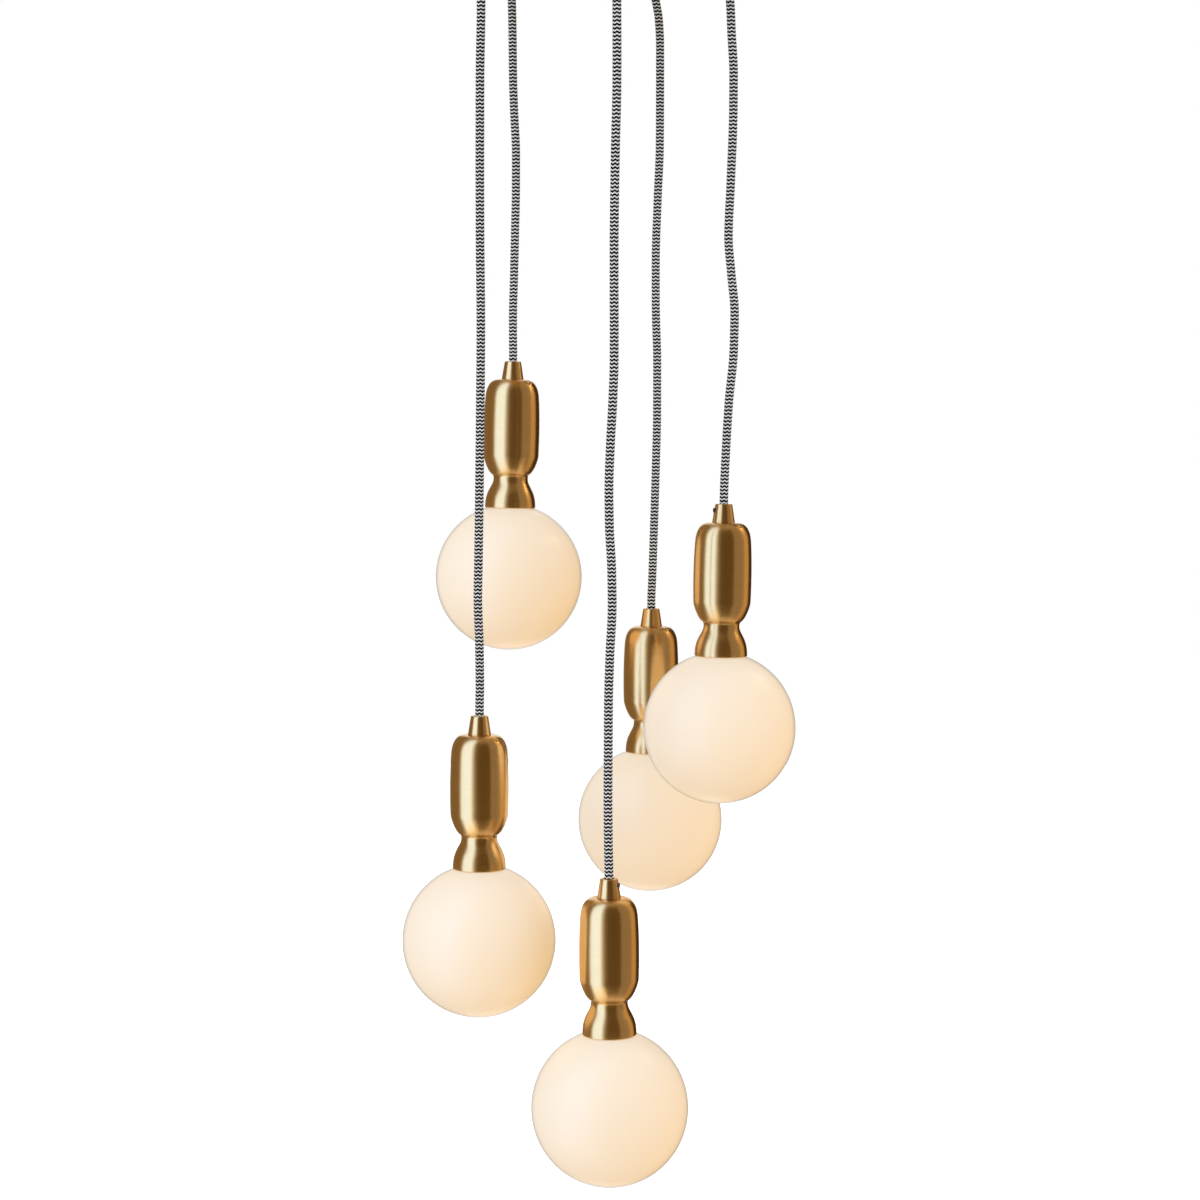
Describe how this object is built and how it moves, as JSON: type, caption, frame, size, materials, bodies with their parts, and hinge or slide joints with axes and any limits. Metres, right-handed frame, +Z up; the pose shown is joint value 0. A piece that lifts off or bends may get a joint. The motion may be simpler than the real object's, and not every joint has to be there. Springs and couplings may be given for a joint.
{
  "type": "globe chandelier",
  "caption": "Ceiling chandelier of opal globe bulbs in waisted brass holders, hung at staggered heights on zig-zag textile cords from a round canopy.",
  "frame": {"origin": "middle of the ceiling bracket's top face, on the ceiling", "axes": "+Z up into the ceiling, +Y from the viewer to the back, +X to the viewer's right along the bracket"},
  "size_m": [0.321, 0.3218, 1.0201],
  "materials": {
    "brass": "satin, turned, lacquered",
    "opal_glass": "opal, lit warm white",
    "cord_textile": "black and white zig-zag braid",
    "bracket_steel": "zinc plated",
    "plated_steel": "nickel plated",
    "dark_steel": "blackened",
    "cap_metal": "rolled nickel-plated sheet",
    "contact_brass": "bright pressed sheet",
    "white_insulator": "matt white"
  },
  "bodies": {
    "fixture": {"ceiling_bracket": "bracket_steel", "canopy_cover": "brass", "canopy_screws": "brass", "canopy_grips": "brass", "canopy_grip_screws": "dark_steel", "canopy_nuts": "plated_steel", "terminal_block": "white_insulator", "terminal_screws": "contact_brass", "earth_screw": "plated_steel", "cord_tails": "cord_textile"},
    "cord_1": {"cord_1": "cord_textile"},
    "lamp_1": {"cord_grip_1": "brass", "grip_fasteners_1": "dark_steel", "barrel_1": "brass", "collar_1": "brass", "lampholder_1": "white_insulator", "holder_contacts_1": "contact_brass"},
    "bulb_core_1": {"bulb_core_1": "white_insulator"},
    "bulb_1": {"bulb_cap_1": "cap_metal", "globe_1": "opal_glass"},
    "cord_2": {"cord_2": "cord_textile"},
    "lamp_2": {"cord_grip_2": "brass", "grip_fasteners_2": "dark_steel", "barrel_2": "brass", "collar_2": "brass", "lampholder_2": "white_insulator", "holder_contacts_2": "contact_brass"},
    "bulb_core_2": {"bulb_core_2": "white_insulator"},
    "bulb_2": {"bulb_cap_2": "cap_metal", "globe_2": "opal_glass"},
    "cord_3": {"cord_3": "cord_textile"},
    "lamp_3": {"cord_grip_3": "brass", "grip_fasteners_3": "dark_steel", "barrel_3": "brass", "collar_3": "brass", "lampholder_3": "white_insulator", "holder_contacts_3": "contact_brass"},
    "bulb_core_3": {"bulb_core_3": "white_insulator"},
    "bulb_3": {"bulb_cap_3": "cap_metal", "globe_3": "opal_glass"},
    "cord_4": {"cord_4": "cord_textile"},
    "lamp_4": {"cord_grip_4": "brass", "grip_fasteners_4": "dark_steel", "barrel_4": "brass", "collar_4": "brass", "lampholder_4": "white_insulator", "holder_contacts_4": "contact_brass"},
    "bulb_core_4": {"bulb_core_4": "white_insulator"},
    "bulb_4": {"bulb_cap_4": "cap_metal", "globe_4": "opal_glass"},
    "cord_5": {"cord_5": "cord_textile"},
    "lamp_5": {"cord_grip_5": "brass", "grip_fasteners_5": "dark_steel", "barrel_5": "brass", "collar_5": "brass", "lampholder_5": "white_insulator", "holder_contacts_5": "contact_brass"},
    "bulb_core_5": {"bulb_core_5": "white_insulator"},
    "bulb_5": {"bulb_cap_5": "cap_metal", "globe_5": "opal_glass"}
  },
  "joints": [
    {"name": "swing_1", "type": "hinge", "parent": "fixture", "child": "cord_1", "pos_m": [0.01516, -0.1039, -0.0465], "axis": [-0.9895, -0.1444, 0], "range_deg": [-2, 25]},
    {"name": "rock_1", "type": "hinge", "parent": "cord_1", "child": "lamp_1", "pos_m": [0.01276, -0.1039, -0.7745], "axis": [0.1444, -0.9895, 0], "range_deg": [-12, 12]},
    {"name": "bulb_1_travel", "type": "slide", "parent": "lamp_1", "child": "bulb_core_1", "axis": [0.0087, 0, -1], "range_m": [0, 0.01451]},
    {"name": "bulb_1_turn", "type": "hinge", "parent": "bulb_core_1", "child": "bulb_1", "pos_m": [0.01435, -0.1039, -0.95762], "axis": [0.0087, 0, -1], "range_deg": [0, 1440]},
    {"name": "swing_2", "type": "hinge", "parent": "fixture", "child": "cord_2", "pos_m": [0.1035, -0.01769, -0.0465], "axis": [-0.1685, -0.9857, 0], "range_deg": [-2, 25]},
    {"name": "rock_2", "type": "hinge", "parent": "cord_2", "child": "lamp_2", "pos_m": [0.1055, -0.01769, -0.4805], "axis": [0.9857, -0.1685, 0], "range_deg": [-12, 12]},
    {"name": "bulb_2_travel", "type": "slide", "parent": "lamp_2", "child": "bulb_core_2", "axis": [-0.0113, 0, -0.9999], "range_m": [0, 0.01451]},
    {"name": "bulb_2_turn", "type": "hinge", "parent": "bulb_core_2", "child": "bulb_2", "pos_m": [0.10342, -0.01769, -0.66361], "axis": [-0.0113, 0, -0.9999], "range_deg": [0, 1440]},
    {"name": "swing_3", "type": "hinge", "parent": "fixture", "child": "cord_3", "pos_m": [0.04881, 0.09297, -0.0465], "axis": [0.8854, -0.4648, 0], "range_deg": [-2, 25]},
    {"name": "rock_3", "type": "hinge", "parent": "cord_3", "child": "lamp_3", "pos_m": [0.04911, 0.09297, -0.5745], "axis": [0.4648, 0.8854, 0], "range_deg": [-12, 12]},
    {"name": "bulb_3_travel", "type": "slide", "parent": "lamp_3", "child": "bulb_core_3", "axis": [0, 0, -1], "range_m": [0, 0.01451]},
    {"name": "bulb_3_turn", "type": "hinge", "parent": "bulb_core_3", "child": "bulb_3", "pos_m": [0.04911, 0.09297, -0.75763], "axis": [0, 0, -1], "range_deg": [0, 1440]},
    {"name": "swing_4", "type": "hinge", "parent": "fixture", "child": "cord_4", "pos_m": [-0.07333, 0.07515, -0.0465], "axis": [0.7157, 0.6984, 0], "range_deg": [-2, 25]},
    {"name": "rock_4", "type": "hinge", "parent": "cord_4", "child": "lamp_4", "pos_m": [-0.07073, 0.07515, -0.3625], "axis": [-0.6984, 0.7157, 0], "range_deg": [-12, 12]},
    {"name": "bulb_4_travel", "type": "slide", "parent": "lamp_4", "child": "bulb_core_4", "axis": [-0.0166, 0, -0.9999], "range_m": [0, 0.01451]},
    {"name": "bulb_4_turn", "type": "hinge", "parent": "bulb_core_4", "child": "bulb_4", "pos_m": [-0.07377, 0.07515, -0.5456], "axis": [-0.0166, 0, -0.9999], "range_deg": [0, 1440]},
    {"name": "swing_5", "type": "hinge", "parent": "fixture", "child": "cord_5", "pos_m": [-0.09413, -0.04652, -0.0465], "axis": [-0.4431, 0.8965, 0], "range_deg": [-2, 25]},
    {"name": "rock_5", "type": "hinge", "parent": "cord_5", "child": "lamp_5", "pos_m": [-0.09263, -0.04652, -0.6525], "axis": [-0.8965, -0.4431, 0], "range_deg": [-12, 12]},
    {"name": "bulb_5_travel", "type": "slide", "parent": "lamp_5", "child": "bulb_core_5", "axis": [0, 0, -1], "range_m": [0, 0.01451]},
    {"name": "bulb_5_turn", "type": "hinge", "parent": "bulb_core_5", "child": "bulb_5", "pos_m": [-0.09263, -0.04652, -0.83563], "axis": [0, 0, -1], "range_deg": [0, 1440]}
  ],
  "couplings": [
    {"joint": "bulb_1_turn", "follows": "bulb_1_travel", "rad_per_m": 1731.4},
    {"joint": "bulb_2_turn", "follows": "bulb_2_travel", "rad_per_m": 1731.4},
    {"joint": "bulb_3_turn", "follows": "bulb_3_travel", "rad_per_m": 1731.4},
    {"joint": "bulb_4_turn", "follows": "bulb_4_travel", "rad_per_m": 1731.4},
    {"joint": "bulb_5_turn", "follows": "bulb_5_travel", "rad_per_m": 1731.4}
  ]
}
